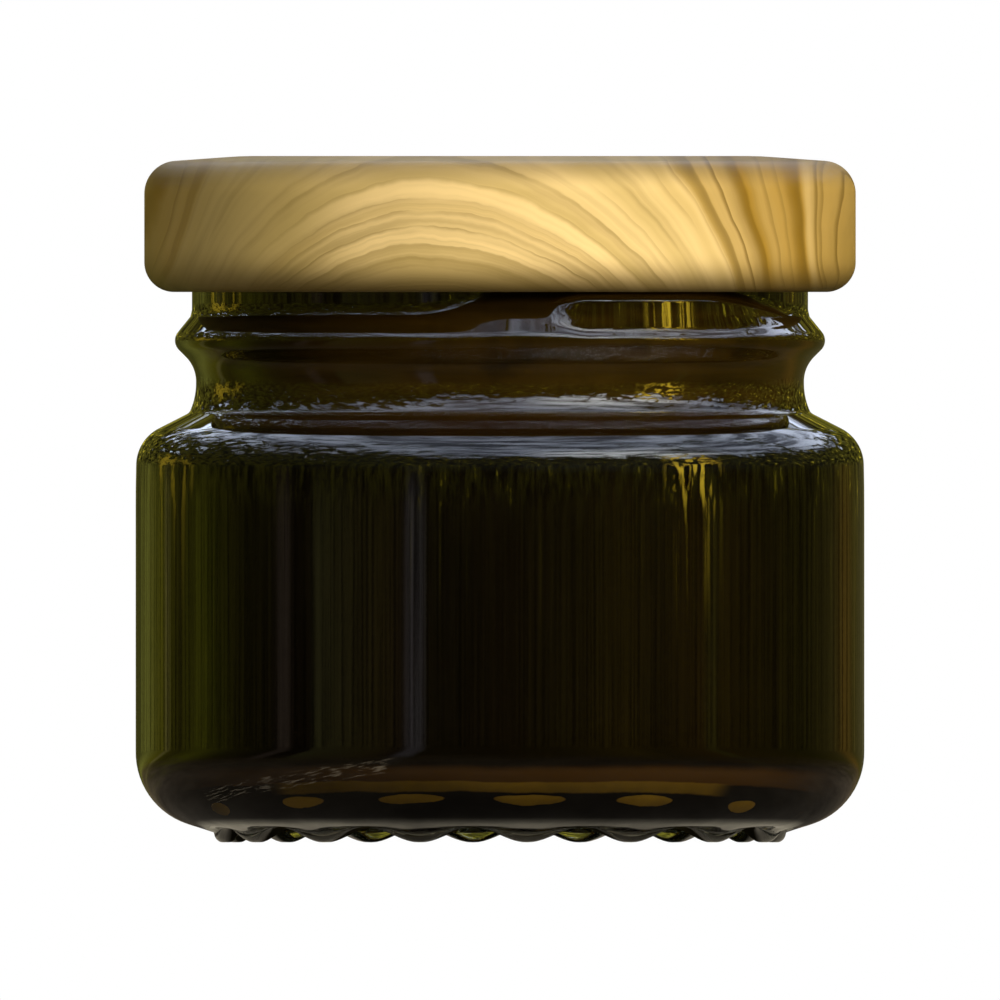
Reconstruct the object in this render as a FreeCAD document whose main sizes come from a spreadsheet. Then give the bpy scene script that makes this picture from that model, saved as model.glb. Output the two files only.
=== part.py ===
import FreeCAD
import Part
import math
import os
import Sketcher

# A small round glass jar with a twist-off lid with a wood finish, filled with a dark spread.
# Millimetres. +Z is up, the origin is the middle of the foot, and the front of the jar is -Y.

# Every size that can be set by itself, as (name, value, what it is).
SIZES = [
    ("body_radius", 23.3, "outside of the round body"),
    ("body_wall", 2.0, "glass thickness of the body"),
    ("heel_height", 2.3, "height at which the sloping heel would meet the body"),
    ("heel_round", 4.8, "round between heel and body"),
    ("heel_width", 5.68, "from the body's outside in to the middle of the ring it stands on"),
    ("foot_width", 1.36, "width of that ring"),
    ("foot_round", 0.5, "round of its two edges"),
    ("foot_rise", 0.61, "height of its outer side"),
    ("recess_rise", 1.3, "height of the hollow under the jar, at the foot"),
    ("recess_crown", 1.8, "height of that hollow in the middle"),
    ("recess_slope", 7.94, "from the foot in to the level middle of that hollow"),
    ("recess_round", 20.0, "round from the level middle to its slope"),
    ("knurl_count", 16, "waves round the foot"),
    ("knurl_depth", 0.98, "height of a wave"),
    ("knurl_land", 0.14, "half the level bit at a wave's top and bottom"),
    ("knurl_turn", -5.625, "angle of the first hollow between two waves, from the front"),
    ("floor_height", 3.3, "height of the inside floor"),
    ("floor_round", 4.2, "round between inside floor and wall"),
    ("shoulder_height", 25.76, "height at which the shoulder would leave the body"),
    ("shoulder_rise", 1.76, "height that the sloping shoulder gains"),
    ("shoulder_width", 3.6, "how far the neck stands in from the body"),
    ("shoulder_round", 2.75, "round between body and shoulder"),
    ("shoulder_wall", 1.25, "upright glass thickness of the shoulder"),
    ("inner_round", 1.5, "rounds of the inside below and above the shoulder"),
    ("neck_foot_step", 0.08, "how much wider the neck is where it leaves the shoulder"),
    ("neck_foot_round", 0.45, "round there"),
    ("waist_depth", 0.26, "how much narrower the neck is at its waist"),
    ("waist_low", 1.5, "lower end of the waist, above the shoulder"),
    ("waist_high", 2.88, "upper end of the waist, above the shoulder"),
    ("waist_low_round", 3.0, "round at its lower end"),
    ("waist_high_round", 2.2, "round at its upper end"),
    ("bead_reach", 1.38, "how far the bead below the lid stands out, before its round"),
    ("bead_rise", 4.52, "height of that edge above the shoulder"),
    ("bead_round", 0.85, "round of the bead"),
    ("crease_rise", 6.23, "height of the crease above the bead, over the shoulder"),
    ("crease_round", 0.25, "round in the crease"),
    ("finish_height", 7.75, "from the crease to the rim"),
    ("neck_wall", 2.0, "glass thickness of the neck"),
    ("rim_round", 0.7, "round of the rim's two edges"),
    ("lug_count", 2, "thread lugs round the neck"),
    ("lug_turn", 25.0, "angle of the first lug, from the front"),
    ("lug_reach", 0.92, "how far a lug stands out from the neck"),
    ("lug_offset", 4.22, "how far the axis of a lug's curved face is from the jar's"),
    ("lug_rise", 1.12, "top of a lug above the crease"),
    ("lug_round", 0.35, "round of a lug's top edge"),
    ("headspace", 3.5, "from the spread's surface up to the rim"),
    ("fill_gap", 0.15, "play between the spread and the glass"),
    ("lid_wall", 2.55, "thickness of the lid's wall"),
    ("lid_height", 8.7, "height of the lid"),
    ("lid_top", 2.4, "thickness of the lid's top"),
    ("lid_play", 0.5, "play between the lid's bore and the neck"),
    ("lid_bore_round", 0.5, "round at the top of the lid's bore"),
    ("lid_edge_round", 2.1, "round of the lid's top edge"),
    ("lid_lip_round", 1.9, "round of the lid's lower edge"),
    ("lid_crown_width", 6.25, "from the lid's outside in to the level middle of its top"),
    ("lid_crown_drop", 0.45, "how far the top falls from there to its edge"),
    ("lid_crown_round", 20.0, "round between the two"),
]

# Heights and radii that follow from the sizes above, written as FreeCAD expressions.
NECK = "(Sizes.body_radius - Sizes.shoulder_width)"
NECK_BASE = "Sizes.shoulder_height + Sizes.shoulder_rise"
BEAD = NECK_BASE + " + Sizes.bead_rise"
CREASE = NECK_BASE + " + Sizes.crease_rise"
RIM = CREASE + " + Sizes.finish_height"
BORE = NECK + " - Sizes.neck_wall"
CAVITY = "Sizes.body_radius - Sizes.body_wall"
INNER_LOW = "Sizes.shoulder_height - Sizes.shoulder_wall"
INNER_HIGH = NECK_BASE + " - Sizes.shoulder_wall"
FOOT = "(Sizes.body_radius - Sizes.heel_width)"
FOOT_IN = FOOT + " - Sizes.foot_width / 2"
FOOT_OUT = FOOT + " + Sizes.foot_width / 2"
LUG_OUT = NECK + " + Sizes.lug_reach"
LID_TOP = RIM + " + Sizes.lid_top"
LID_BORE = NECK + " + Sizes.lid_play"
LID_OUT = LID_BORE + " + Sizes.lid_wall"

# A wave goes down and up in two arcs that meet halfway, apart from a level land between waves.
# With half a wave's length and its height, this gives half the run of the straight flank.
HALF_WAVE = f"(pi * {FOOT} / Sizes.knurl_count)"
FLANK = f"(({HALF_WAVE} ^ 2 - Sizes.knurl_depth ^ 2) / (4 * {HALF_WAVE}))"
WAVE_REACH = f"({HALF_WAVE} / 2 - {FLANK} - Sizes.knurl_land)"
WAVE_ROUND = f"{WAVE_REACH} / tan(atan(Sizes.knurl_depth / (2 * {FLANK})) / 2)"

ABOVE = 5.0  # how far a cutting section runs past the glass that it cuts
FAR = 60.0  # a cut that goes right through runs this far


def make_sheet(doc):
    """The spreadsheet of driving sizes: name, value, and what the size is."""
    sheet = doc.addObject("Spreadsheet::Sheet", "Sizes")
    for row, (name, value, meaning) in enumerate(SIZES, start=1):
        sheet.set(f"A{row}", name)
        sheet.set(f"B{row}", str(value))
        sheet.setAlias(f"B{row}", name)
        sheet.set(f"C{row}", meaning)
    doc.recompute()
    return sheet


def worth(sheet, expression):
    """The number that an expression on the sheet's sizes comes to."""
    return float(sheet.evalExpression(expression.replace("Sizes.", "")))


def origin_part(body, role):
    """A plane or axis of a body's own origin."""
    return next(part for part in body.Origin.OriginFeatures if part.Role == role)


def rounded_corner(before, corner, after, radius):
    """The two points where a round of this radius meets the sides of a corner, and its centre."""
    back = (before - corner).normalize()
    ahead = (after - corner).normalize()
    half = back.getAngle(ahead) / 2
    reach = radius / math.tan(half)
    middle = (back + ahead).normalize() * (radius / math.sin(half))
    return corner + back * reach, corner + ahead * reach, corner + middle


def add_outline(sketch, sheet, corners):
    """Draw a closed outline through corners given as (across, up, round) expressions.

    Each side is a line through its two corners, and each round an arc tangent to both sides.
    The corners stay in the sketch as points, held by the two expressions.
    """
    count = len(corners)
    places = [FreeCAD.Vector(worth(sheet, x), worth(sheet, y), 0) for x, y, _ in corners]
    leave, arrive, arcs = [], [], {}
    for i, (_, _, size) in enumerate(corners):
        start = end = places[i]
        if size:
            around = (places[i - 1], places[i], places[(i + 1) % count])
            start, end, arcs[i] = rounded_corner(*around, worth(sheet, size))
        arrive.append(start)
        leave.append(end)
    sides = []
    for i in range(count):
        line = Part.LineSegment(leave[i], arrive[(i + 1) % count])
        sides.append(sketch.addGeometry(line, False))
    for i, (across, up, size) in enumerate(corners):
        came, goes = sides[i - 1], sides[i]
        if size:
            point = sketch.addGeometry(Part.Point(places[i]), True)
            sketch.addConstraint(Sketcher.Constraint("PointOnObject", point, 1, came))
            sketch.addConstraint(Sketcher.Constraint("PointOnObject", point, 1, goes))
            add_round(sketch, arcs[i], arrive[i], leave[i], came, goes, size)
            held = (point, 1)
        else:
            sketch.addConstraint(Sketcher.Constraint("Coincident", came, 2, goes, 1))
            held = (goes, 1)
        hold(sketch, "DistanceX", held, places[i].x, across)
        hold(sketch, "DistanceY", held, places[i].y, up)


def add_round(sketch, centre, start, end, came, goes, size):
    """An arc from the end of one side to the start of the next, tangent to both."""
    radius = (start - centre).Length
    circle = Part.Circle(centre, FreeCAD.Vector(0, 0, 1), radius)
    first, last = circle.parameter(start), circle.parameter(end)
    turns_left = (last - first) % (2 * math.pi) < math.pi
    arc = Part.ArcOfCircle(circle, *((first, last) if turns_left else (last, first)))
    index = sketch.addGeometry(arc, False)
    near, other = (1, 2) if turns_left else (2, 1)
    sketch.addConstraint(Sketcher.Constraint("Tangent", came, 2, index, near))
    sketch.addConstraint(Sketcher.Constraint("Tangent", index, other, goes, 1))
    row = sketch.addConstraint(Sketcher.Constraint("Radius", index, radius))
    sketch.setExpression(f"Constraints[{row}]", size)


def hold(sketch, kind, held, value, expression):
    """Hold a point at a distance from the sketch's own origin, by an expression."""
    geometry, point = held
    row = sketch.addConstraint(Sketcher.Constraint(kind, -1, 1, geometry, point, value))
    sketch.setExpression(f"Constraints[{row}]", expression)


def add_section(body, sheet, name, corners, turn=None):
    """A sketch on the body's upright XZ plane, turned about Z by an expression if one is given."""
    sketch = body.newObject("Sketcher::SketchObject", name)
    sketch.AttachmentSupport = [(origin_part(body, "XZ_Plane"), "")]
    sketch.MapMode = "FlatFace"
    if turn:
        upright = FreeCAD.Rotation(FreeCAD.Vector(0, 1, 0), worth(sheet, turn))
        sketch.AttachmentOffset = FreeCAD.Placement(FreeCAD.Vector(), upright)
        sketch.setExpression("AttachmentOffset.Rotation.Angle", turn)
    add_outline(sketch, sheet, corners)
    return sketch


def spin(body, kind, name, sketch, axis=None):
    """A full turn of a section about Z, or about an axis of its sketch."""
    feature = body.newObject(kind, name)
    feature.Profile = sketch
    feature.ReferenceAxis = axis or (origin_part(body, "Z_Axis"), [""])
    feature.Angle = 360
    return feature


def repeat(body, name, feature, count):
    """Copies of a feature, evenly round Z."""
    pattern = body.newObject("PartDesign::PolarPattern", name)
    pattern.Originals = [feature]
    pattern.Axis = (origin_part(body, "Z_Axis"), [""])
    pattern.Angle = 360
    pattern.setExpression("Occurrences", count)
    body.Tip = pattern
    return pattern


def make_body(doc, name):
    """An empty body whose label names its file."""
    body = doc.addObject("PartDesign::Body", name)
    body.Label = name
    body.Placement = FreeCAD.Placement()
    return body


def make_jar(doc, sheet):
    """The glass: a turned outside, thread lugs, a waved foot, and the hollow inside."""
    body = make_body(doc, "jar")
    waist = NECK + " - Sizes.waist_depth"
    outside = [
        ("0", "Sizes.recess_crown", None),
        (FOOT_IN + " - Sizes.recess_slope", "Sizes.recess_crown", "Sizes.recess_round"),
        (FOOT_IN, "Sizes.recess_rise", None),
        (FOOT_IN, "0", "Sizes.foot_round"),
        (FOOT_OUT, "0", "Sizes.foot_round"),
        (FOOT_OUT, "Sizes.foot_rise", None),
        ("Sizes.body_radius", "Sizes.heel_height", "Sizes.heel_round"),
        ("Sizes.body_radius", "Sizes.shoulder_height", "Sizes.shoulder_round"),
        (NECK + " + Sizes.neck_foot_step", NECK_BASE, "Sizes.neck_foot_round"),
        (waist, NECK_BASE + " + Sizes.waist_low", "Sizes.waist_low_round"),
        (waist, NECK_BASE + " + Sizes.waist_high", "Sizes.waist_high_round"),
        (NECK + " + Sizes.bead_reach", BEAD, "Sizes.bead_round"),
        (NECK, CREASE, "Sizes.crease_round"),
        (NECK, RIM, "Sizes.rim_round"),
        ("0", RIM, None),
    ]
    section = add_section(body, sheet, "JarOutside", outside)
    spin(body, "PartDesign::Revolution", "JarTurned", section)

    # A lug is a slice of a disc set off from the jar's axis, so it fades into the neck.
    lug = [
        ("Sizes.lug_offset", BEAD, None),
        (LUG_OUT, BEAD, None),
        (LUG_OUT, CREASE + " + Sizes.lug_rise", "Sizes.lug_round"),
        ("Sizes.lug_offset", CREASE + " + Sizes.lug_rise", None),
    ]
    section = add_section(body, sheet, "LugSection", lug, "Sizes.lug_turn - 90")
    inmost = len(lug) - 1  # the section's last side, from its last corner to its first
    side = section.Geometry[inmost]
    axis = section.addGeometry(Part.LineSegment(side.StartPoint, side.EndPoint), True)
    section.addConstraint(Sketcher.Constraint("Coincident", axis, 1, inmost, 1))
    section.addConstraint(Sketcher.Constraint("Coincident", axis, 2, inmost, 2))
    disc = spin(body, "PartDesign::Revolution", "Lug", section, (section, ["Axis0"]))
    repeat(body, "Lugs", disc, "Sizes.lug_count")

    low = f"-{ABOVE}"
    inner = f"{HALF_WAVE} / 2 - {FLANK}"
    outer = f"{HALF_WAVE} / 2 + {FLANK}"
    wave = [
        (f"-({HALF_WAVE})", low, None),
        (HALF_WAVE, low, None),
        (HALF_WAVE, "0", None),
        (outer, "0", WAVE_ROUND),
        (inner, "Sizes.knurl_depth", WAVE_ROUND),
        (f"-({inner})", "Sizes.knurl_depth", WAVE_ROUND),
        (f"-({outer})", "0", WAVE_ROUND),
        (f"-({HALF_WAVE})", "0", None),
    ]
    section = add_section(body, sheet, "WaveSection", wave, "Sizes.knurl_turn")
    hollow = body.newObject("PartDesign::Pocket", "Wave")
    hollow.Profile = section
    hollow.Length = FAR
    hollow.Reversed = True
    repeat(body, "Waves", hollow, "Sizes.knurl_count")

    inside = [
        ("0", "Sizes.floor_height", None),
        (CAVITY, "Sizes.floor_height", "Sizes.floor_round"),
        (CAVITY, INNER_LOW, "Sizes.inner_round"),
        (BORE, INNER_HIGH, "Sizes.inner_round"),
        (BORE, f"{RIM} + {ABOVE}", None),
        ("0", f"{RIM} + {ABOVE}", None),
    ]
    section = add_section(body, sheet, "JarInside", inside)
    body.Tip = spin(body, "PartDesign::Groove", "JarHollow", section)
    return body


def make_contents(doc, sheet):
    """The spread: the shape of the hollow, less the play, up to the fill level."""
    body = make_body(doc, "contents")
    outside = [
        ("0", "Sizes.floor_height + Sizes.fill_gap", None),
        (
            CAVITY + " - Sizes.fill_gap",
            "Sizes.floor_height + Sizes.fill_gap",
            "Sizes.floor_round - Sizes.fill_gap",
        ),
        (
            CAVITY + " - Sizes.fill_gap",
            INNER_LOW + " - Sizes.fill_gap",
            "Sizes.inner_round",
        ),
        (BORE + " - Sizes.fill_gap", INNER_HIGH + " - Sizes.fill_gap", "Sizes.inner_round"),
        (BORE + " - Sizes.fill_gap", RIM + " - Sizes.headspace", None),
        ("0", RIM + " - Sizes.headspace", None),
    ]
    section = add_section(body, sheet, "ContentsSection", outside)
    spin(body, "PartDesign::Revolution", "ContentsTurned", section)
    return body


def make_lid(doc, sheet):
    """The lid: a turned cap whose bore clears the neck and whose top sits on the rim."""
    body = make_body(doc, "lid")
    outside = [
        ("0", RIM, None),
        (LID_BORE, RIM, "Sizes.lid_bore_round"),
        (LID_BORE, LID_TOP + " - Sizes.lid_height", None),
        (LID_OUT, LID_TOP + " - Sizes.lid_height", "Sizes.lid_lip_round"),
        (LID_OUT, LID_TOP + " - Sizes.lid_crown_drop", "Sizes.lid_edge_round"),
        (LID_OUT + " - Sizes.lid_crown_width", LID_TOP, "Sizes.lid_crown_round"),
        ("0", LID_TOP, None),
    ]
    section = add_section(body, sheet, "LidSection", outside)
    spin(body, "PartDesign::Revolution", "LidTurned", section)
    return body


def check(doc, bodies):
    """Stop if any object failed, or if a body is not one sound solid."""
    for thing in doc.Objects:
        if "Invalid" in thing.State or "Error" in thing.State:
            raise RuntimeError(f"{thing.Name} failed: {thing.State}")
    for body in bodies:
        shape = body.Shape
        if shape.isNull() or not shape.isValid() or len(shape.Solids) != 1:
            raise RuntimeError(f"{body.Label} is not one sound solid")


def check_cut(doc, before, after):
    """Stop if a cut took nothing away."""
    if doc.getObject(after).Shape.Volume >= doc.getObject(before).Shape.Volume:
        raise RuntimeError(f"{after} cuts nothing")


def main():
    doc = FreeCAD.newDocument("Jar")
    sheet = make_sheet(doc)
    bodies = [make_jar(doc, sheet), make_contents(doc, sheet), make_lid(doc, sheet)]
    doc.recompute()
    check(doc, bodies)
    check_cut(doc, "Lugs", "Waves")
    check_cut(doc, "Waves", "JarHollow")
    os.makedirs("parts", exist_ok=True)
    for body in bodies:
        body.Shape.exportStep(f"parts/{body.Label}.step")
        box = body.Shape.BoundBox
        print(
            f"{body.Label}: volume {body.Shape.Volume:.1f}, faces {len(body.Shape.Faces)}, "
            f"x {box.XMin:.3f} to {box.XMax:.3f}, z {box.ZMin:.3f} to {box.ZMax:.3f}"
        )


main()
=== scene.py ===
import math

import bpy
import numpy as np
from bpy.props import FloatProperty, FloatVectorProperty, IntProperty, PointerProperty
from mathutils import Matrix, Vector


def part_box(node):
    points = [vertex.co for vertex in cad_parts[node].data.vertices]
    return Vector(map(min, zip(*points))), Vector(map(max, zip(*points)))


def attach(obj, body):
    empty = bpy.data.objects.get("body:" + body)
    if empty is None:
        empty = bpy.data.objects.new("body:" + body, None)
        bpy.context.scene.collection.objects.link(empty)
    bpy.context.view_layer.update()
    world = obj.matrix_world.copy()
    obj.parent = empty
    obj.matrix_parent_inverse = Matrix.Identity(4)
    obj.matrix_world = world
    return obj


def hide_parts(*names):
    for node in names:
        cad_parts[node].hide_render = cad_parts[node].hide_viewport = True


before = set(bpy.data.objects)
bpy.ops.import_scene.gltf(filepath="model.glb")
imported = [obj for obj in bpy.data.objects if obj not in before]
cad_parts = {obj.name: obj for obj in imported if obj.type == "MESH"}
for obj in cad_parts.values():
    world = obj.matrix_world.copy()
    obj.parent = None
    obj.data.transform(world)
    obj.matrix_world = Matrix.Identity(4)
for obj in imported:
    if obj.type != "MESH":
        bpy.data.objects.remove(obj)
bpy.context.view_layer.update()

bl_info = {
    "name": "Glass Jar of Spread",
    "version": (1, 0, 0),
    "blender": (4, 5, 0),
    "location": "View3D > Sidebar > Jar",
    "description": "Builds a small glass jar of dark spread with a wood-finish lid",
    "category": "Add Mesh",
}

# The frame gives every overall size. Metres, +Z up, the front of the jar is -Y.
JAR_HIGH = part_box("jar")[1]
FILL_LOW, FILL_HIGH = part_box("contents")
LID_LOW, LID_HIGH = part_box("lid")
MM = 0.001


def length(name, description, default):
    """A size in metres that the sidebar shows in the scene's own unit."""
    return FloatProperty(
        name=name, description=description, default=default, unit="LENGTH", precision=5
    )


def colour(name, description, default):
    """A linear colour of red, green and blue."""
    return FloatVectorProperty(
        name=name,
        description=description,
        default=default,
        subtype="COLOR",
        size=3,
        min=0.0,
        max=1.0,
    )


class JarSizes(bpy.types.PropertyGroup):
    """Sizes of the glass."""

    radius: length("Body radius", "Outside of the round body", JAR_HIGH[0])
    wall: length("Wall", "Glass thickness of body and neck", 2.0 * MM)
    shoulder_width: length("Shoulder width", "From the body in to the neck", 3.6 * MM)
    heel_width: length("Heel width", "From the body in to the middle of the foot", 5.68 * MM)
    foot_width: length("Foot width", "Width of the ring that the jar stands on", 1.36 * MM)
    wave_height: length("Wave height", "Height of the waves round the foot", 0.98 * MM)
    wave_count: IntProperty(
        name="Waves", description="Waves round the foot", default=16, min=1
    )
    wave_turn: FloatProperty(
        name="Wave turn",
        description="Angle of the first crest from the front",
        default=math.radians(5.625),
        subtype="ANGLE",
    )
    # Each column is 594 triangles. A piece stays under 200,000, so 336 columns are the most; past
    # that the export thins the glass. A multiple of the waves keeps the crests alike.
    columns: IntProperty(
        name="Columns", description="Faces round the jar", default=320, min=32
    )


class LidSizes(bpy.types.PropertyGroup):
    """Sizes of the lid."""

    radius: length("Lid radius", "Outside of the lid", LID_HIGH[0])
    play: length("Play", "Between the lid's bore and the neck", 0.5 * MM)
    pith_x: length("Pith across", "Middle of the wood's rings, across the lid", -4.8 * MM)


class Colours(bpy.types.PropertyGroup):
    """Colours of the finishes, of the painted light in the spread and of the painted shade on the lid.
    """

    glass: colour("Glass", "Colour of the glass where it is thick", (0.62, 0.66, 0.40))
    spread: colour("Spread", "Body colour of the spread", (0.0010, 0.0005, 0.0002))
    # Painted light: the brown of light through the spread in the neck.
    neck: colour("Neck", "The spread where the neck lets light through", (0.022, 0.0105, 0.0011))
    # Painted light: the amber glow of light through the spread at its foot.
    amber: colour("Amber", "The spread where light passes it", (0.38, 0.205, 0.018))
    # Painted light: the reddish glow of light through the spread, above the amber glow.
    reddish_painted_glow: colour("Rust", "The spread just above the amber", (0.052, 0.021, 0.003))
    wood_pale: colour("Pale wood", "Early wood of the lid", (0.71, 0.52, 0.235))
    wood_tan: colour("Tan wood", "Wood between the rings", (0.415, 0.30, 0.100))
    wood_line: colour("Ring line", "Dark late wood", (0.185, 0.125, 0.030))
    wood_amber: colour("Warm wood", "Golden brown streaks in the wood", (0.30, 0.165, 0.014))
    # Painted shade: the dark brown of the lid's rounded edges where shade falls.
    wood_edge_shade: colour("Worn wood", "Wood that handling has darkened", (0.070, 0.043, 0.009))


class StageSettings(bpy.types.PropertyGroup):
    """Camera, floor and light."""

    frame_width: length("Frame width", "Width that the camera sees", 63.95 * MM)
    frame_height: length("Frame centre", "Height of the camera's axis", 21.9 * MM)
    key: FloatProperty(name="Key light", description="Power of the key light", default=3.7)
    canopy: FloatProperty(
        name="Canopy", description="Brightness of the soft canopy", default=1.4
    )
    fill: FloatProperty(name="Fill", description="Brightness of the world's fill", default=0.28)


# ---------------------------------------------------------------- surfaces


def arc_at(before, corner, after, size, count):
    """Points of the arc that rounds one corner, tangent to its two sides.

    With a the angle between the sides, the arc starts size / tan(a / 2) from the corner, and its
    points run evenly in angle about the centre, size / sin(a / 2) away along the bisector.
    """
    back = (before - corner) / np.linalg.norm(before - corner)
    ahead = (after - corner) / np.linalg.norm(after - corner)
    half = np.arccos(np.clip(back @ ahead, -1, 1)) / 2
    if size == 0 or half > 1.5707:
        return corner[None]
    centre = corner + (back + ahead) / np.linalg.norm(back + ahead) * size / np.sin(half)
    start = corner + back * size / np.tan(half) - centre
    end = corner + ahead * size / np.tan(half) - centre
    first = np.arctan2(start[1], start[0])
    sweep = (np.arctan2(end[1], end[0]) - first + np.pi) % (2 * np.pi) - np.pi
    turn = first + sweep * np.linspace(0, 1, count)
    return centre + size * np.stack([np.cos(turn), np.sin(turn)], 1)


def evenly(points, count):
    """The same line with count points, evenly spaced along its length."""
    steps = np.linalg.norm(np.diff(points, axis=0), axis=1)
    along = np.concatenate([[0], np.cumsum(steps)])
    places = np.linspace(0, along[-1], count)
    return np.stack([np.interp(places, along, points[:, k]) for k in (0, 1)], 1)


def stretches(corners):
    """A line through rounded corners, with a number of points given for each corner's stretch.

    A row of corners is (radius, height, round, points). A corner's stretch takes in its arc and
    half of the straight part on each side of it, evenly spaced along its length. Lines with the
    same list of points match each other stretch by stretch. The first and last rows are ends.
    """
    rows = np.array(corners, float)
    places = rows[:, :2]
    arcs = [places[:1]]
    for i in range(1, len(rows) - 1):
        arcs.append(arc_at(places[i - 1], places[i], places[i + 1], rows[i, 2], 40))
    arcs.append(places[-1:])
    joins = [(arcs[i][-1] + arcs[i + 1][0]) / 2 for i in range(len(arcs) - 1)]
    joins[0], joins[-1] = places[0], places[-1]
    out = []
    for i in range(1, len(rows) - 1):
        bent = np.concatenate([joins[i - 1][None], arcs[i], joins[i][None]])
        out.append(evenly(bent, int(rows[i, 3]) + 1)[:-1])
    out.append(places[-1:])
    return np.concatenate(out)


def ease(x):
    """Smooth step of x from 0 to 1: 3 x^2 - 2 x^3 between them, level outside."""
    x = np.clip(x, 0, 1)
    return x * x * (3 - 2 * x)


def turned_mesh(name, radius, height, angle):
    """A closed surface turned about Z.

    radius and height are grids of one row for each ring and one column for each angle. A point is
    (radius sin angle, -radius cos angle, height), so angle 0 faces the front. The first and last
    rows lie on the axis and become one point each, which closes both poles.
    """
    rings, columns = radius.shape
    ring = np.stack([radius * np.sin(angle), -radius * np.cos(angle), height], 2)[1:-1]
    first = [[0, 0, height[0].mean()]]
    last = [[0, 0, height[-1].mean()]]
    points = np.concatenate([first, ring.reshape(-1, 3), last])
    here = np.arange(columns)
    after = (here + 1) % columns
    rows = 1 + np.arange(rings - 3)[:, None] * columns
    quads = np.stack([rows + here, rows + after, rows + columns + after, rows + columns + here], 2)
    end = len(points) - 1
    low = np.stack([np.zeros_like(here), 1 + after, 1 + here], 1)
    high = np.stack([here * 0 + end, end - columns + here, end - columns + after], 1)
    return shape(name, points, quads.reshape(-1, 4), np.concatenate([low, high]))


def shape(name, points, quads, triangles):
    """A mesh object from arrays, with its faces turned outwards by the sign of its volume."""
    corners = np.concatenate([quads.ravel(), triangles.ravel()])
    totals = np.concatenate([np.full(len(quads), 4), np.full(len(triangles), 3)])
    fans = np.concatenate([triangles, quads[:, :3], quads[:, [0, 2, 3]]])
    a, b, c = points[fans[:, 0]], points[fans[:, 1]], points[fans[:, 2]]
    if np.einsum("ij,ij->", a, np.cross(b, c)) < 0:
        corners = np.concatenate([quads[:, ::-1].ravel(), triangles[:, ::-1].ravel()])
    mesh = bpy.data.meshes.new(name)
    mesh.vertices.add(len(points))
    mesh.vertices.foreach_set("co", points.astype(np.float32).ravel())
    mesh.loops.add(len(corners))
    mesh.loops.foreach_set("vertex_index", corners.astype(np.int32))
    mesh.polygons.add(len(totals))
    mesh.polygons.foreach_set("loop_start", (np.cumsum(totals) - totals).astype(np.int32))
    mesh.polygons.foreach_set("use_smooth", np.ones(len(totals), bool))
    mesh.update(calc_edges=True)
    mesh.validate()
    piece = bpy.data.objects.new(name, mesh)
    bpy.context.scene.collection.objects.link(piece)
    return piece


# ---------------------------------------------------------------- sections of the jar


def neck_heights():
    """Heights of the neck's features, counted down from the rim."""
    rim = JAR_HIGH[2]
    return {
        "rim": rim,
        "crease": rim - 7.75 * MM,
        "bead": rim - 9.46 * MM,
        "waist_high": rim - 11.10 * MM,
        "waist_low": rim - 12.98 * MM,
        "base": rim - 14.02 * MM,
        "shoulder": rim - 15.74 * MM,
        "easing": rim - 18.70 * MM,
    }


def bead_corners(neck, at, kind):
    """Corners from the bead up to the crease that ends it, of one of three kinds.

    plain slopes straight from the bead in to the neck, raised does so up to a higher crease, and
    upright stands out from the neck as a lug's face does. All have five corners.
    """
    bead = np.array([neck + 1.38 * MM, at["bead"]])
    if kind == "upright":
        return [
            (*bead, 0.55 * MM, 14),
            (neck + 1.00 * MM, at["bead"] + 0.70 * MM, 0.3 * MM, 8),
            (neck + 0.82 * MM, at["crease"] + 1.10 * MM, 0.25 * MM, 14),
            (neck, at["crease"] + 1.22 * MM, 0.1 * MM, 8),
        ]
    rise, first, second = (1.15 * MM, 0.5, 0.75) if kind == "raised" else (0.0, 0.8, 0.9)
    crease = np.array([neck, at["crease"] + rise])
    return [
        (*bead, 0.85 * MM, 14),
        (*(bead + first * (crease - bead)), 0, 8),
        (*(bead + second * (crease - bead)), 0, 14),
        (*crease, 0.25 * MM, 8),
    ]


def jar_section(s, kind):
    """The jar's closed section from the hollow under the foot, up the outside and down the inside."""
    at = neck_heights()
    neck = s.radius - s.shoulder_width
    bore = neck - s.wall
    cavity = s.radius - s.wall
    foot_in = s.radius - s.heel_width - s.foot_width / 2
    foot_out = foot_in + s.foot_width
    floor = FILL_LOW[2] - 0.15 * MM
    waist = neck - 0.26 * MM
    low = [
        (0, 1.8 * MM, 0, 0),
        (foot_in - 7.94 * MM, 1.8 * MM, 20 * MM, 8),
        (foot_in, 1.3 * MM, 0.12 * MM, 12),
        (foot_in, 0, 0.5 * MM, 14),
        (foot_out, 0, 0.5 * MM, 14),
        (foot_out, 0.61 * MM, 0.12 * MM, 14),
        (s.radius, 2.3 * MM, 4.8 * MM, 34),
        (s.radius, at["easing"], 90 * MM, 8),
        (s.radius - 0.07 * MM, at["shoulder"], 2.65 * MM, 34),
        (neck + 0.16 * MM, at["base"], 0.45 * MM, 12),
        (waist, at["waist_low"], 4.3 * MM, 14),
        (waist, at["waist_high"], 2.2 * MM, 12),
    ]
    high = [
        (neck, at["rim"], 0.7 * MM, 12),
        (bore, at["rim"], 0.7 * MM, 12),
        (bore, at["base"] - 1.21 * MM, 1.5 * MM, 10),
        (cavity, at["shoulder"] - 1.25 * MM, 1.5 * MM, 14),
        (cavity, floor, 4.2 * MM, 30),
        (0, floor, 0, 0),
    ]
    return stretches([*low, *bead_corners(neck, at, kind), *high])


def lug_windows(angle):
    """How far the crease is raised and how upright the lug's face is, at each angle.

    Both rise and fall with smooth steps. There are two lugs, opposite each other.
    """
    turn = (np.degrees(angle) + 90) % 180 - 90
    raised = ease((turn + 16) / 18) * ease((76 - turn) / 40)
    lug = ease((turn - 8) / 8) * ease((74 - turn) / 30)
    return raised, lug


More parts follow.
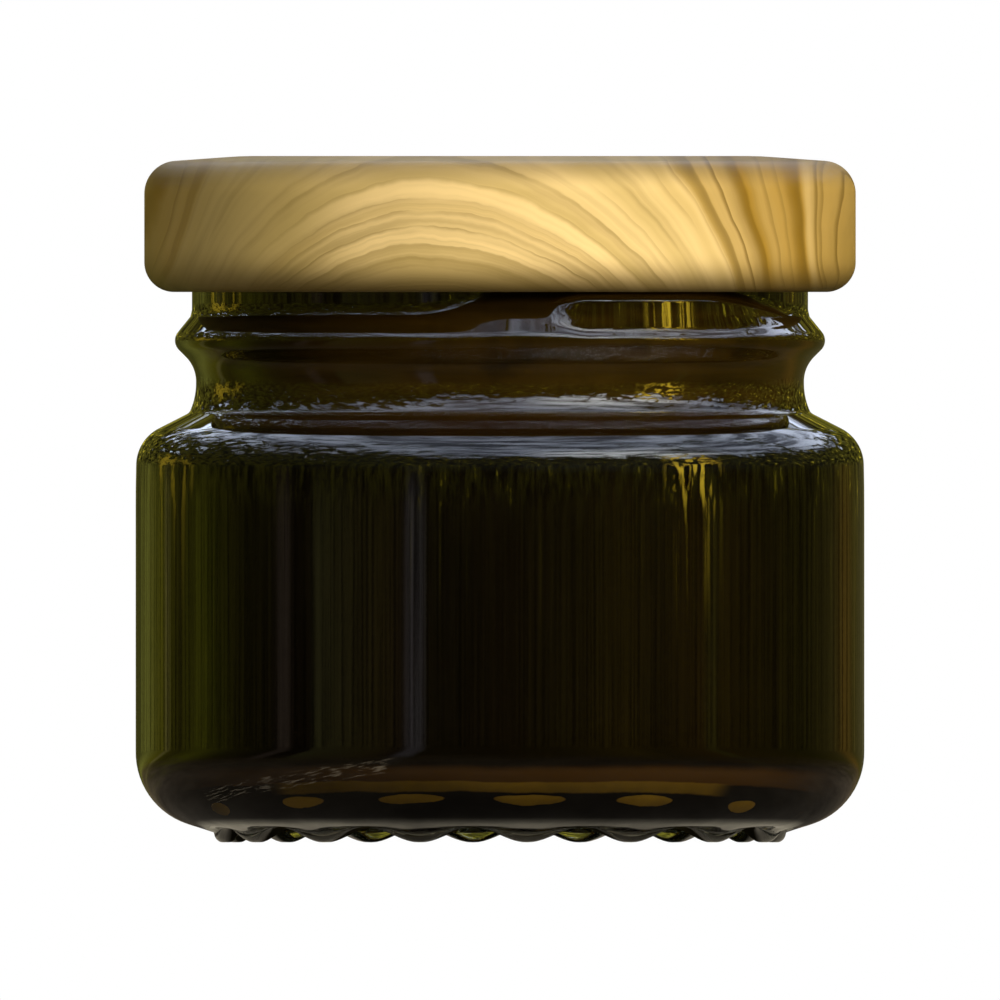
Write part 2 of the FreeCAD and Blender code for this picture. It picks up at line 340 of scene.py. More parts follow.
def jar_grid(s):
    """Radius and height of the whole glass surface, one row a ring and one column an angle.

    The three sections of the lug are blended by its two windows. Below the wave's height, the
    foot's drop is scaled by a cosine that is 1 at a crest and nearly 0 in a hollow.
    """
    angle = np.arange(s.columns) * (2 * np.pi / s.columns)
    raised, lug = lug_windows(angle)
    plain = jar_section(s, "plain")[:, :, None]
    lifted = jar_section(s, "raised")[:, :, None]
    upright = jar_section(s, "upright")[:, :, None]
    grid = plain + raised * (lifted - plain) + raised * lug * (upright - lifted)
    radius, height = grid[:, 0] + 0 * angle, grid[:, 1] + 0 * angle
    crest = 0.5 + 0.5 * np.cos(s.wave_count * (angle - s.wave_turn))
    drop = np.clip(s.wave_height - height, 0, None)
    height = height + drop * 0.98 * (1 - crest)
    return radius, height, angle


def contents_section(s):
    """The spread's section: the inside of the glass, a hair into the wall, up to the fill level."""
    at = neck_heights()
    into = 0.04 * MM
    bore = s.radius - s.shoulder_width - s.wall + into
    cavity = s.radius - s.wall + into
    floor = FILL_LOW[2] - 0.15 * MM - into
    return stretches(
        [
            (0, floor, 0, 0),
            (cavity, floor, 4.2 * MM, 60),
            (cavity, at["shoulder"] - 1.25 * MM + into, 1.5 * MM, 30),
            (bore, at["base"] - 1.21 * MM + into, 1.5 * MM, 24),
            (bore, FILL_HIGH[2], 0.2 * MM, 20),
            (0, FILL_HIGH[2], 0, 0),
        ]
    )


def lid_section(s, neck):
    """The lid's section from the middle of its top, down the outside and up the bore."""
    top, low, rim = LID_HIGH[2], LID_LOW[2], JAR_HIGH[2]
    bore = neck + s.play
    return stretches(
        [
            (0, top, 0, 0),
            (s.radius - 6.25 * MM, top, 20 * MM, 24),
            (s.radius, top - 0.45 * MM, 2.1 * MM, 40),
            (s.radius, low, 1.9 * MM, 40),
            (bore, low, 0.3 * MM, 12),
            (bore, rim, 0.5 * MM, 16),
            (0, rim, 0, 0),
        ]
    )


# ---------------------------------------------------------------- materials


class Graph:
    """Short calls for making and joining the nodes of one tree."""

    def __init__(self, tree):
        self.tree = tree

    def add(self, kind, **values):
        """A node with its properties set."""
        node = self.tree.nodes.new(kind)
        for key, value in values.items():
            setattr(node, key, value)
        return node

    def put(self, socket, value):
        """Join a socket, or set a plain value on it."""
        if isinstance(value, bpy.types.NodeSocket):
            self.tree.links.new(value, socket)
        else:
            socket.default_value = value

    def math(self, operation, a, b=0.0, c=0.0, clamp=False):
        """One arithmetic step."""
        node = self.add("ShaderNodeMath", operation=operation, use_clamp=clamp)
        for i, value in enumerate((a, b, c)):
            self.put(node.inputs[i], value)
        return node.outputs[0]

    def mix(self, factor, a, b, blend="MIX"):
        """A mix of two colours."""
        node = self.add("ShaderNodeMix", data_type="RGBA", blend_type=blend)
        self.put(node.inputs["Factor"], factor)
        self.put(node.inputs["A"], as_rgba(a))
        self.put(node.inputs["B"], as_rgba(b))
        return node.outputs["Result"]

    def span(self, value, low, high, to_low=0.0, to_high=1.0, smooth=True):
        """Maps low..high to to_low..to_high, with a smooth step if asked."""
        kind = "SMOOTHSTEP" if smooth else "LINEAR"
        node = self.add("ShaderNodeMapRange", interpolation_type=kind)
        for i, number in enumerate((value, low, high, to_low, to_high)):
            self.put(node.inputs[i], number)
        return node.outputs[0]

    def noise(self, vector, scale, detail=3.0, rough=0.5, distort=0.0):
        """Noise between 0 and 1 at a number of waves to the metre."""
        node = self.add("ShaderNodeTexNoise")
        self.put(node.inputs["Vector"], vector)
        self.put(node.inputs["Scale"], scale)
        self.put(node.inputs["Detail"], detail)
        self.put(node.inputs["Roughness"], rough)
        self.put(node.inputs["Distortion"], distort)
        return node.outputs[0]

    def times(self, first, *others):
        """The product of some numbers."""
        for other in others:
            first = self.math("MULTIPLY", first, other)
        return first

    def window(self, value, start, full, fade, end):
        """1 from full to fade, with smooth steps down to 0 at start and at end."""
        return self.times(self.span(value, start, full), self.span(value, end, fade))

    def split(self, vector):
        """The three numbers of a vector."""
        node = self.add("ShaderNodeSeparateXYZ")
        self.put(node.inputs[0], vector)
        return node.outputs

    def azimuth(self, x, y):
        """The angle about Z from the front, in radians, positive to the right."""
        return self.math("ARCTAN2", x, self.math("MULTIPLY", y, -1.0))

    def ramp(self, factor, places, shades, easing="LINEAR"):
        """A colour ramp with one shade of three numbers at each place from 0 to 1."""
        node = self.add("ShaderNodeValToRGB")
        node.color_ramp.interpolation = easing
        stops = node.color_ramp.elements
        while len(stops) < len(places):
            stops.new(1.0)
        for i, (place, shade) in enumerate(zip(places, shades)):
            stops[i].position = place
            stops[i].color = (*shade, 1)
        self.put(node.inputs[0], factor)
        return node.outputs[0]

    def scaled(self, vector, scale):
        """A vector with each axis scaled."""
        node = self.add("ShaderNodeMapping")
        self.put(node.inputs["Vector"], vector)
        self.put(node.inputs["Scale"], scale)
        return node.outputs[0]


def as_rgba(value):
    """A colour of three numbers with an alpha of 1; sockets pass through."""
    if isinstance(value, bpy.types.NodeSocket):
        return value
    return (*value, 1.0)


def new_material(name):
    """An empty node material, its Graph and its Object coordinates."""
    material = bpy.data.materials.new(name)
    material.use_nodes = True
    material.node_tree.nodes.clear()
    graph = Graph(material.node_tree)
    place = graph.add("ShaderNodeTexCoord").outputs["Object"]
    return material, graph, place


def finish_surface(graph, shader, volume=None):
    """Join a shader, and a volume if there is one, to the material's output."""
    output = graph.add("ShaderNodeOutputMaterial")
    graph.tree.links.new(shader, output.inputs["Surface"])
    if volume is not None:
        graph.tree.links.new(volume, output.inputs["Volume"])


def handling_marks():
    """Node group: the faint unevenness that moulding and handling leave on a hard surface.

    Height is a broad swell plus a fine ripple, and Smear is a soft mask of touched places.
    """
    tree = bpy.data.node_groups.new("HandlingMarks", "ShaderNodeTree")
    face = tree.interface
    face.new_socket("Place", in_out="INPUT", socket_type="NodeSocketVector")
    size = face.new_socket("Swell", in_out="INPUT", socket_type="NodeSocketFloat")
    size.default_value = 90.0
    fine = face.new_socket("Ripple", in_out="INPUT", socket_type="NodeSocketFloat")
    fine.default_value = 600.0
    face.new_socket("Height", in_out="OUTPUT", socket_type="NodeSocketFloat")
    face.new_socket("Smear", in_out="OUTPUT", socket_type="NodeSocketFloat")
    graph = Graph(tree)
    given = graph.add("NodeGroupInput").outputs
    swell = graph.noise(given["Place"], given["Swell"], 2.0)
    ripple = graph.noise(given["Place"], given["Ripple"], 2.0)
    height = graph.math("MULTIPLY_ADD", ripple, 0.12, swell)
    smear = graph.span(graph.noise(given["Place"], given["Swell"], 5.0, 0.65), 0.45, 0.7)
    out = graph.add("NodeGroupOutput").inputs
    graph.put(out["Height"], height)
    graph.put(out["Smear"], smear)
    return tree


def use_marks(graph, place, swell, ripple):
    """The handling marks placed in a material. Returns height and smear."""
    node = graph.add("ShaderNodeGroup")
    node.node_tree = bpy.data.node_groups.get("HandlingMarks") or handling_marks()
    graph.put(node.inputs["Place"], place)
    graph.put(node.inputs["Swell"], swell)
    graph.put(node.inputs["Ripple"], ripple)
    return node.outputs["Height"], node.outputs["Smear"]


def bump(graph, height, distance):
    """A normal tilted by a height, which is worth distance metres from 0 to 1."""
    node = graph.add("ShaderNodeBump")
    node.inputs["Strength"].default_value = 1.0
    node.inputs["Distance"].default_value = distance
    graph.put(node.inputs["Height"], height)
    return node.outputs["Normal"]


def scuffs(graph, place):
    """Short fine strokes in a narrow belt on the outside of the glass, low on the left.

    With t the angle from the front in degrees, the belt is 1 mm wide and its middle lies at a
    height of 5.9 + 0.053 t mm, from t = -57 to -17. The strokes are a noise that is drawn out
    along X and rises across the belt. The wall's inside has a smaller radius and is left clear.
    """
    x, y, z = graph.split(place)
    turn = graph.math("DEGREES", graph.azimuth(x, y))
    off = graph.math("SUBTRACT", graph.math("DIVIDE", z, MM), 5.9)
    off = graph.math("MULTIPLY_ADD", turn, -0.053, off)
    belt = graph.span(graph.math("ABSOLUTE", off), 0.52, 0.38)
    belt = graph.times(belt, graph.window(turn, -58.0, -55.0, -19.0, -16.0))
    radius = graph.math("SQRT", graph.math("MULTIPLY_ADD", x, x, graph.math("MULTIPLY", y, y)))
    belt = graph.math("MULTIPLY", belt, graph.math("GREATER_THAN", radius, 21.4 * MM))
    at = graph.add("ShaderNodeCombineXYZ")
    along = graph.math("DIVIDE", x, MM)
    graph.put(at.inputs[0], graph.math("MULTIPLY", along, 1.1))
    graph.put(at.inputs[1], graph.math("MULTIPLY_ADD", along, -0.9, graph.math("MULTIPLY", off, 11.0)))
    strokes = graph.span(graph.noise(at.outputs[0], 1.0, 2.0, 0.5), 0.54, 0.62)
    return graph.math("MULTIPLY", belt, strokes)


def glass_material(look):
    """Clear moulded glass with an olive depth, a slight swell and a few fine scuffs."""
    material, graph, place = new_material("JarGlass")
    height, _ = use_marks(graph, graph.scaled(place, (1, 1, 0.12)), 70.0, 420.0)
    shader = graph.add("ShaderNodeBsdfPrincipled")
    shader.inputs["Base Color"].default_value = (0.93, 0.95, 0.86, 1)
    shader.inputs["Roughness"].default_value = 0.02
    shader.inputs["IOR"].default_value = 1.52
    shader.inputs["Transmission Weight"].default_value = 1.0
    graph.put(shader.inputs["Normal"], bump(graph, height, 0.00002))
    clear = graph.add("ShaderNodeBsdfTransparent")
    clear.inputs["Color"].default_value = (0.80, 0.82, 0.66, 1)
    path = graph.add("ShaderNodeLightPath")
    mixed = graph.add("ShaderNodeMixShader")
    graph.put(mixed.inputs[0], path.outputs["Is Shadow Ray"])
    graph.put(mixed.inputs[1], shader.outputs[0])
    graph.put(mixed.inputs[2], clear.outputs[0])
    depth = graph.add("ShaderNodeVolumeAbsorption")
    depth.inputs["Color"].default_value = (*look.glass, 1)
    depth.inputs["Density"].default_value = 70.0
    matt = graph.add("ShaderNodeBsdfDiffuse")
    matt.inputs["Color"].default_value = (0.34, 0.29, 0.22, 1)
    scuffed = graph.add("ShaderNodeMixShader")
    graph.put(scuffed.inputs[0], graph.math("MULTIPLY", scuffs(graph, place), 0.20))
    graph.put(scuffed.inputs[1], mixed.outputs[0])
    graph.put(scuffed.inputs[2], matt.outputs[0])
    finish_surface(graph, scuffed.outputs[0], depth.outputs[0])
    return material


def spread_material(look, sizes):
    """Near-black syrup. Painted light browns its neck and glows where light gathers at its foot.

    By height above the jar's floor there is a reddish band over an amber band, both painted light
    passing through the spread. They are strongest over 42 degrees each way from the front and the
    back. Below them a painted amber glow lies in an ellipse over each crest of the foot's waves, in
    the angle from the crest and the height. The neck's painted brown is in thin layers, its top is
    paler, and a faint reddish painted glow lies where the shoulder bends.
    """
    material, graph, place = new_material("DarkSpread")
    x, y, z = graph.split(place)
    angle = graph.azimuth(x, y)
    wander = graph.noise(place, 160.0, 4.0, 0.6)
    shift = graph.math("MULTIPLY", graph.math("SUBTRACT", wander, 0.5), 0.35)
    height = graph.math("ADD", graph.math("DIVIDE", z, MM), shift)
    height = graph.math("SUBTRACT", height, FILL_LOW[2] / MM)
    facing = graph.math("ABSOLUTE", graph.math("COSINE", angle))
    # Painted light: the amber glow of light through the spread, in a band and over each crest.
    near = graph.span(facing, 0.70, 0.78)
    band = graph.times(graph.window(height, 0.42, 0.50, 0.84, 0.92), near)
    pitch = 2 * math.pi / sizes.wave_count
    turn = graph.math("DIVIDE", graph.math("SUBTRACT", angle, sizes.wave_turn), pitch)
    turn = graph.math("SUBTRACT", graph.math("FRACT", graph.math("ADD", turn, 0.5 + 20)), 0.5)
    half = graph.math("MAXIMUM", graph.math("MULTIPLY_ADD", facing, 0.42, -0.11), 0.13)
    across = graph.math("POWER", graph.math("DIVIDE", turn, half), 2)
    down = graph.math("POWER", graph.math("DIVIDE", graph.math("SUBTRACT", height, 0.22), 0.16), 2)
    painted_glow_spot = graph.span(graph.math("ADD", across, down), 1.0, 0.85)
    painted_glow_spot = graph.math("MULTIPLY", painted_glow_spot, graph.span(facing, 0.3, 0.6))
    amber = graph.math("MAXIMUM", graph.math("MULTIPLY", band, 0.45), painted_glow_spot)
    # Painted light: a reddish glow just above the amber one, as light through the spread.
    reddish_painted_glow = graph.window(height, 0.80, 0.90, 1.30, 1.75)
    cloud = graph.noise(place, 240.0, 4.0, 0.6)
    body = graph.mix(graph.span(cloud, 0.35, 0.75), look.spread, [1.8 * c for c in look.spread])
    # Painted light: the neck's brown, in thin layers, is light through the spread.
    neck = graph.span(z, FILL_HIGH[2] - 12.2 * MM, FILL_HIGH[2] - 11.4 * MM)
    layers = graph.noise(graph.scaled(place, (0.25, 0.25, 2.0)), 420.0, 4.0)
    layers = graph.span(layers, 0.35, 0.65, 0.6, 1.3, False)
    deep = graph.mix(1.0, look.neck, layers, "MULTIPLY")
    body = graph.mix(graph.math("MULTIPLY", neck, graph.span(cloud, 0.15, 0.5)), body, deep)
    # Painted light: paler still at the top, twice the neck's brown.
    rim_high = FILL_HIGH[2] - 3.0 * MM
    body = graph.mix(graph.span(z, rim_high, rim_high + 1.0 * MM), body,
                     [2.0 * c for c in look.neck])
    # Painted light: a faint reddish glow where the shoulder bends.
    bend = JAR_HIGH[2] - 15.5 * MM
    bend = graph.window(z, bend - 1.0 * MM, bend - 0.5 * MM, bend + 0.5 * MM, bend + 1.0 * MM)
    body = graph.mix(graph.math("MULTIPLY", bend, 0.35), body, look.reddish_painted_glow)
    body = graph.mix(graph.math("MULTIPLY", reddish_painted_glow, graph.span(facing, 0.2, 0.7)), body, look.reddish_painted_glow)
    glow = graph.mix(graph.span(cloud, 0.35, 0.65), [0.75 * c for c in look.amber], look.amber)
    shader = graph.add("ShaderNodeBsdfPrincipled")
    graph.put(shader.inputs["Base Color"], graph.mix(amber, body, glow))
    shader.inputs["Roughness"].default_value = 0.3
    shader.inputs["IOR"].default_value = 1.45
    shader.inputs["Specular IOR Level"].default_value = 0.03
    finish_surface(graph, shader.outputs[0])
    return material


# Growth rings from the pith outwards: (place in mm, how pale, how warm), and the thin dark lines
# of late wood among them: (place in mm, half its width in mm, how dark).
RING_TONES = [
    (0.0, 0.25, 0.0),
    (8.1, 0.25, 0.0),
    (8.6, 0.50, 0.0),
    (9.5, 0.45, 0.0),
    (9.9, 0.95, 0.0),
    (10.9, 1.00, 0.0),
    (11.3, 0.75, 0.0),
    (12.1, 0.90, 0.0),
    (12.6, 0.70, 0.1),
    (13.3, 1.00, 0.0),
    (13.9, 0.95, 0.0),
    (14.4, 0.25, 0.0),
    (15.2, 0.60, 0.0),
    (16.1, 0.85, 0.0),
    (17.4, 0.35, 0.0),
    (18.6, 0.70, 0.0),
    (19.4, 0.45, 0.1),
    (19.8, 0.75, 0.1),
    (20.2, 0.10, 0.5),
    (20.8, 0.45, 0.4),
    (21.6, 0.60, 0.5),
    (22.1, 0.05, 1.0),
    (22.7, 0.30, 0.6),
    (23.6, 0.20, 0.7),
    (24.4, 0.00, 1.0),
    (24.8, 0.60, 0.4),
    (25.3, 0.20, 0.6),
    (28.0, 0.10, 0.7),
]
RING_LINES = [
    (8.30, 0.10, 0.28),
    (9.68, 0.09, 0.34),
    (11.20, 0.08, 0.56),
    (12.35, 0.07, 0.44),
    (13.10, 0.06, 0.26),
    (14.30, 0.07, 0.28),
    (15.40, 0.08, 0.36),
    (16.70, 0.08, 0.26),
    (17.70, 0.08, 0.26),
    (19.20, 0.06, 0.28),
    (19.90, 0.06, 0.45),
    (20.50, 0.12, 0.60),
    (21.20, 0.06, 0.85),
    (22.10, 0.16, 0.70),
    (23.00, 0.06, 0.40),
    (23.60, 0.05, 0.30),
    (24.40, 0.22, 0.75),
    (25.20, 0.05, 0.70),
    (25.45, 0.05, 0.50),
    (26.20, 0.05, 0.80),
]
RING_SPAN = 28.0
# How tightly the arches bend, in radians to the mm, on the right of the pith and on its left.
BEND_RIGHT, BEND_LEFT = 0.0614, 0.0791


def ring_number(graph, place, lid):
    """How far out a point lies among rings that arch over a pith running front to back.

    With d the distance across from the pith and h the height above the lid's foot, the number in
    mm is arccos(exp(-k h) C(d)) / k. C is cos(k d) on the right of the pith, and on its left
    cos(j d) to the power k / j, so that the arches fall more steeply there. Noise bends the
    rings, most of all round the sides and the back, where they close into eyes.
    """
    k, j = BEND_RIGHT, BEND_LEFT
    slow = graph.noise(graph.scaled(place, (1, 0.25, 1)), 130.0, 2.0)
    quick = graph.noise(graph.scaled(place, (1, 0.25, 1)), 620.0, 2.0)
    x, y, z = graph.split(place)
    across = graph.math("DIVIDE", graph.math("SUBTRACT", x, lid.pith_x), MM)
    up = graph.math("DIVIDE", graph.math("SUBTRACT", z, LID_LOW[2]), MM)
    across = graph.math("MULTIPLY_ADD", graph.math("SUBTRACT", slow, 0.5), 1.6, across)
    knotty = graph.math("SUBTRACT", graph.noise(place, 75.0, 3.0), 0.5)
    behind = graph.span(y, -9 * MM, 1 * MM, 0.0, 8.0)
    across = graph.math("MULTIPLY_ADD", knotty, behind, across)
    up = graph.math("MULTIPLY_ADD", graph.math("SUBTRACT", quick, 0.5), 0.45, up)
    right = graph.math("COSINE", graph.math("MULTIPLY", across, k))
    left = graph.math("COSINE", graph.math("MULTIPLY", across, j))
    left = graph.math("POWER", graph.math("MAXIMUM", left, 0.02), k / j)
    side = graph.math("GREATER_THAN", across, 0.0)
    arch = graph.math("ADD", graph.math("MULTIPLY", side, right),
                      graph.math("MULTIPLY", graph.math("SUBTRACT", 1.0, side), left))
    fall = graph.math("EXPONENT", graph.math("MULTIPLY", up, -k))
    return graph.math("DIVIDE", graph.math("ARCCOSINE", graph.math("MULTIPLY", arch, fall)), k)


def ring_tones(graph, number):
    """Paleness and warmth of the rings, from a ramp over the ring number."""
    places = [place / RING_SPAN for place, _, _ in RING_TONES]
    shades = [(pale, warm, 0) for _, pale, warm in RING_TONES]
    tones = graph.ramp(graph.math("DIVIDE", number, RING_SPAN), places, shades, "EASE")
    parts = graph.add("ShaderNodeSeparateColor")
    graph.put(parts.inputs[0], tones)
    return parts.outputs[0], parts.outputs[1]


def ring_lines(graph, number):
    """The thin dark lines over the ring number: sharp on the outside and soft towards the pith."""
    total = 0.0
    for place, half, dark in RING_LINES:
        outer = graph.span(number, place + 0.9 * half, place)
        inner = graph.span(number, place - 4.0 * half, place, 0.0, dark)
        total = graph.math("MAXIMUM", total, graph.math("MULTIPLY", outer, inner))
    return total


def painted_edge_shade(graph, place):
    """Painted shade on the lid's two rounded edges: near its top and its foot, by height.

    The foot's painted shade reaches higher on the left.
    """
    across, _, height = graph.split(place)
    height = graph.math("SUBTRACT", height, LID_LOW[2])
    reach = graph.span(across, -11 * MM, -19 * MM, 3.0 * MM, 3.6 * MM)
    foot = graph.math("POWER", graph.span(graph.math("DIVIDE", height, reach), 1.0, 0.0), 1.4)
    rise = LID_HIGH[2] - LID_LOW[2]
    top = graph.span(height, rise - 2.2 * MM, rise - 0.5 * MM, 0.0, 0.40)
    return graph.math("MULTIPLY_ADD", foot, 0.85, top)


def wood_material(look, lid):
    """Satin wood with arching rings: pale and tan bands, soft dark lines and warm streaks.

    Painted shade makes the pale bands duller and the lines fainter on the left, and the lines are
    brown far out. The top and foot edges are darkened by painted shade.
    """
    material, graph, place = new_material("WoodFinish")
    number = ring_number(graph, place, lid)
    pale, warm = ring_tones(graph, number)
    grain = graph.scaled(place, (1, 0.25, 1))
    cloud = graph.noise(grain, 90.0, 3.0)
    pale = graph.math("MULTIPLY_ADD", graph.math("SUBTRACT", cloud, 0.5), 0.8, pale, True)
    across = graph.split(place)["X"]
    # Painted shade: the pale bands are duller on the left of the lid.
    left_painted_shade = graph.span(across, -14 * MM, -7.5 * MM, 0.15, 1.0)
    pale = graph.math("MULTIPLY", pale, left_painted_shade)
    tone = graph.mix(pale, look.wood_tan, look.wood_pale)
    tone = graph.mix(warm, tone, look.wood_amber)
    streak_at = graph.add("ShaderNodeCombineXYZ")
    graph.put(streak_at.inputs[0], number)
    graph.put(streak_at.inputs[1], graph.math("MULTIPLY", graph.noise(grain, 60.0), 2.5))
    streak = graph.noise(streak_at.outputs[0], 1.1, 3.0, 0.6)
    tone = graph.mix(graph.span(streak, 0.40, 0.75, 0.0, 0.40), tone, look.wood_line)
    uneven = graph.noise(grain, 150.0, 3.0)
    whole = graph.math("MULTIPLY", graph.span(number, 19.4, 20.2, 0.0, 0.85),
                       graph.span(across, -2 * MM, 2 * MM))
    uneven = graph.math("MAXIMUM", graph.span(uneven, 0.38, 0.62), whole)
    # Painted shade: the lines are fainter on the left of the lid.
    faint = graph.span(across, -17 * MM, -11 * MM, 0.4, 1.0)
    line = graph.times(ring_lines(graph, number), uneven, faint)
    far = graph.span(number, 18.5, 20.5)
    deep = graph.mix(far, look.wood_line, [0.4 * c for c in look.wood_amber])
    tone = graph.mix(line, tone, deep)
    # Painted shade on the lid's rounded top and foot edges.
    tone = graph.mix(painted_edge_shade(graph, place), tone, look.wood_edge_shade)
    height, smear = use_marks(graph, place, 130.0, 900.0)
    rough = graph.math("MULTIPLY_ADD", smear, 0.10, 0.42)
    relief = graph.math("MULTIPLY_ADD", line, -0.3, graph.math("MULTIPLY", height, 0.5))
    shader = graph.add("ShaderNodeBsdfPrincipled")
    graph.put(shader.inputs["Base Color"], tone)
    graph.put(shader.inputs["Roughness"], rough)
    shader.inputs["Specular IOR Level"].default_value = 0.09
    shader.inputs["Coat Weight"].default_value = 0.02
    shader.inputs["Coat Roughness"].default_value = 0.3
    graph.put(shader.inputs["Normal"], bump(graph, relief, 0.00005))
    finish_surface(graph, shader.outputs[0])
    return material


# ---------------------------------------------------------------- stage

STAGE_REACH = 0.6
FLOOR_RADIUS = 3.0
FLOOR_LIFT = 0.42
KEY_SIZE = 0.22
KEY_AWAY = 0.55
KEY_AZIMUTH, KEY_ELEVATION = math.radians(34), math.radians(18)
CAMERA_AWAY = 0.4


def white_background(graph):
    """1 for rays that the camera sends out, or that glass and gloss pass on; 0 for the rest."""
    path = graph.add("ShaderNodeLightPath")
    seen = graph.math("MAXIMUM", path.outputs["Is Camera Ray"], path.outputs["Is Glossy Ray"])
    return graph.math("MAXIMUM", seen, path.outputs["Is Transmission Ray"])


def set_world(settings):
    """White behind the object, and a soft grey fill from all round."""
    world = bpy.data.worlds.new("Studio")
    bpy.context.scene.world = world
    world.use_nodes = True
    world.node_tree.nodes.clear()
    graph = Graph(world.node_tree)
    white = graph.add("ShaderNodeBackground")
    white.inputs["Color"].default_value = (1, 1, 1, 1)
    soft = graph.add("ShaderNodeBackground")
    soft.inputs["Color"].default_value = (1.0, 0.98, 0.90, 1)
    soft.inputs["Strength"].default_value = settings.fill
    mixed = graph.add("ShaderNodeMixShader")
    graph.put(mixed.inputs[0], white_background(graph))
    graph.put(mixed.inputs[1], soft.outputs[0])
    graph.put(mixed.inputs[2], white.outputs[0])
    output = graph.add("ShaderNodeOutputWorld")
    graph.tree.links.new(mixed.outputs[0], output.inputs["Surface"])


def band_of_sphere(name, distance, low, high, rows=24, columns=96):
    """Part of a sphere about the jar, all the way round, with elevation from low to high.

    A point is distance times (cos e sin a, -cos e cos a, sin e), with angles in degrees and
    azimuth 0 at the front.
    """
    e, a = np.meshgrid(
        np.radians(np.linspace(low, high, rows)),
        np.radians(np.linspace(-180, 180, columns)),
        indexing="ij",
    )
    flat = np.cos(e) * distance
    points = np.stack([flat * np.sin(a), -flat * np.cos(a), np.sin(e) * distance], 2).reshape(-1, 3)
    corner = (np.arange(rows - 1)[:, None] * columns + np.arange(columns - 1)).ravel()
    quads = np.stack([corner, corner + 1, corner + columns + 1, corner + columns], 1)
    return stage_sheet(name, points, quads)


def stage_sheet(name, points, faces):
    """A sheet of the stage, which is no part of the jar."""
    mesh = bpy.data.meshes.new(name)
    mesh.from_pydata(points.tolist(), [], faces.tolist())
    sheet = bpy.data.objects.new(name, mesh)
    bpy.context.scene.collection.objects.link(sheet)
    return sheet


def disc(name, radius, height):
    """A flat round sheet at a height, as one face."""
    angle = np.radians(np.arange(0, 360, 4))
    points = np.stack([radius * np.cos(angle), radius * np.sin(angle), height + 0 * angle], 1)
    return stage_sheet(name, points, np.arange(len(points))[None])


def only_in_gloss(sheet):
    """Let a sheet show only in the glass and on gloss, so that it neither lights nor shades."""
    sheet.visible_camera = False
    sheet.visible_diffuse = False
    sheet.visible_shadow = False


# Dim panels that stand round the jar: (azimuth in degrees, red, green, blue).
PANELS = [
    (-180, 0.06, 0.05, 0.010),
    (-160, 0.08, 0.08, 0.015),
    (-147, 0.26, 0.26, 0.045),
    (-133, 0.21, 0.19, 0.015),
    (-130, 0.34, 0.30, 0.080),
    (-127, 0.12, 0.11, 0.010),
    (-121, 0.09, 0.08, 0.010),
    (-107, 0.21, 0.21, 0.016),
    (-92, 0.08, 0.07, 0.010),
    (-75, 0.04, 0.03, 0.010),
    (-73, 0.15, 0.11, 0.080),
    (-70, 0.15, 0.11, 0.080),
    (-68, 0.03, 0.02, 0.008),
    (-62, 0.03, 0.02, 0.008),
    (-60, 0.15, 0.14, 0.050),
    (-37, 0.12, 0.09, 0.025),
    (-30, 0.06, 0.04, 0.020),
    (-28.5, 0.26, 0.23, 0.23),
    (-24.5, 0.24, 0.22, 0.22),
    (-23, 0.05, 0.04, 0.012),
    (0, 0.06, 0.04, 0.010),
    (20, 0.08, 0.06, 0.010),
    (40, 0.16, 0.11, 0.014),
    (50, 0.10, 0.07, 0.012),
    (66, 0.15, 0.09, 0.012),
    (70, 0.20, 0.17, 0.030),
    (73, 0.12, 0.08, 0.010),
    (110, 0.07, 0.06, 0.008),
    (130, 0.10, 0.08, 0.018),
    (140, 0.20, 0.12, 0.020),
    (150, 0.10, 0.08, 0.016),
    (165, 0.09, 0.08, 0.030),
]


def panels(graph, azimuth):
    """The panels' colour at an azimuth, from a ramp that runs once round."""
    places = [(degrees + 180) / 360 for degrees, *_ in PANELS]
    turn = graph.math("MULTIPLY_ADD", azimuth, 0.5 / math.pi, 0.5)
    return graph.ramp(turn, places, [rgb for _, *rgb in PANELS])


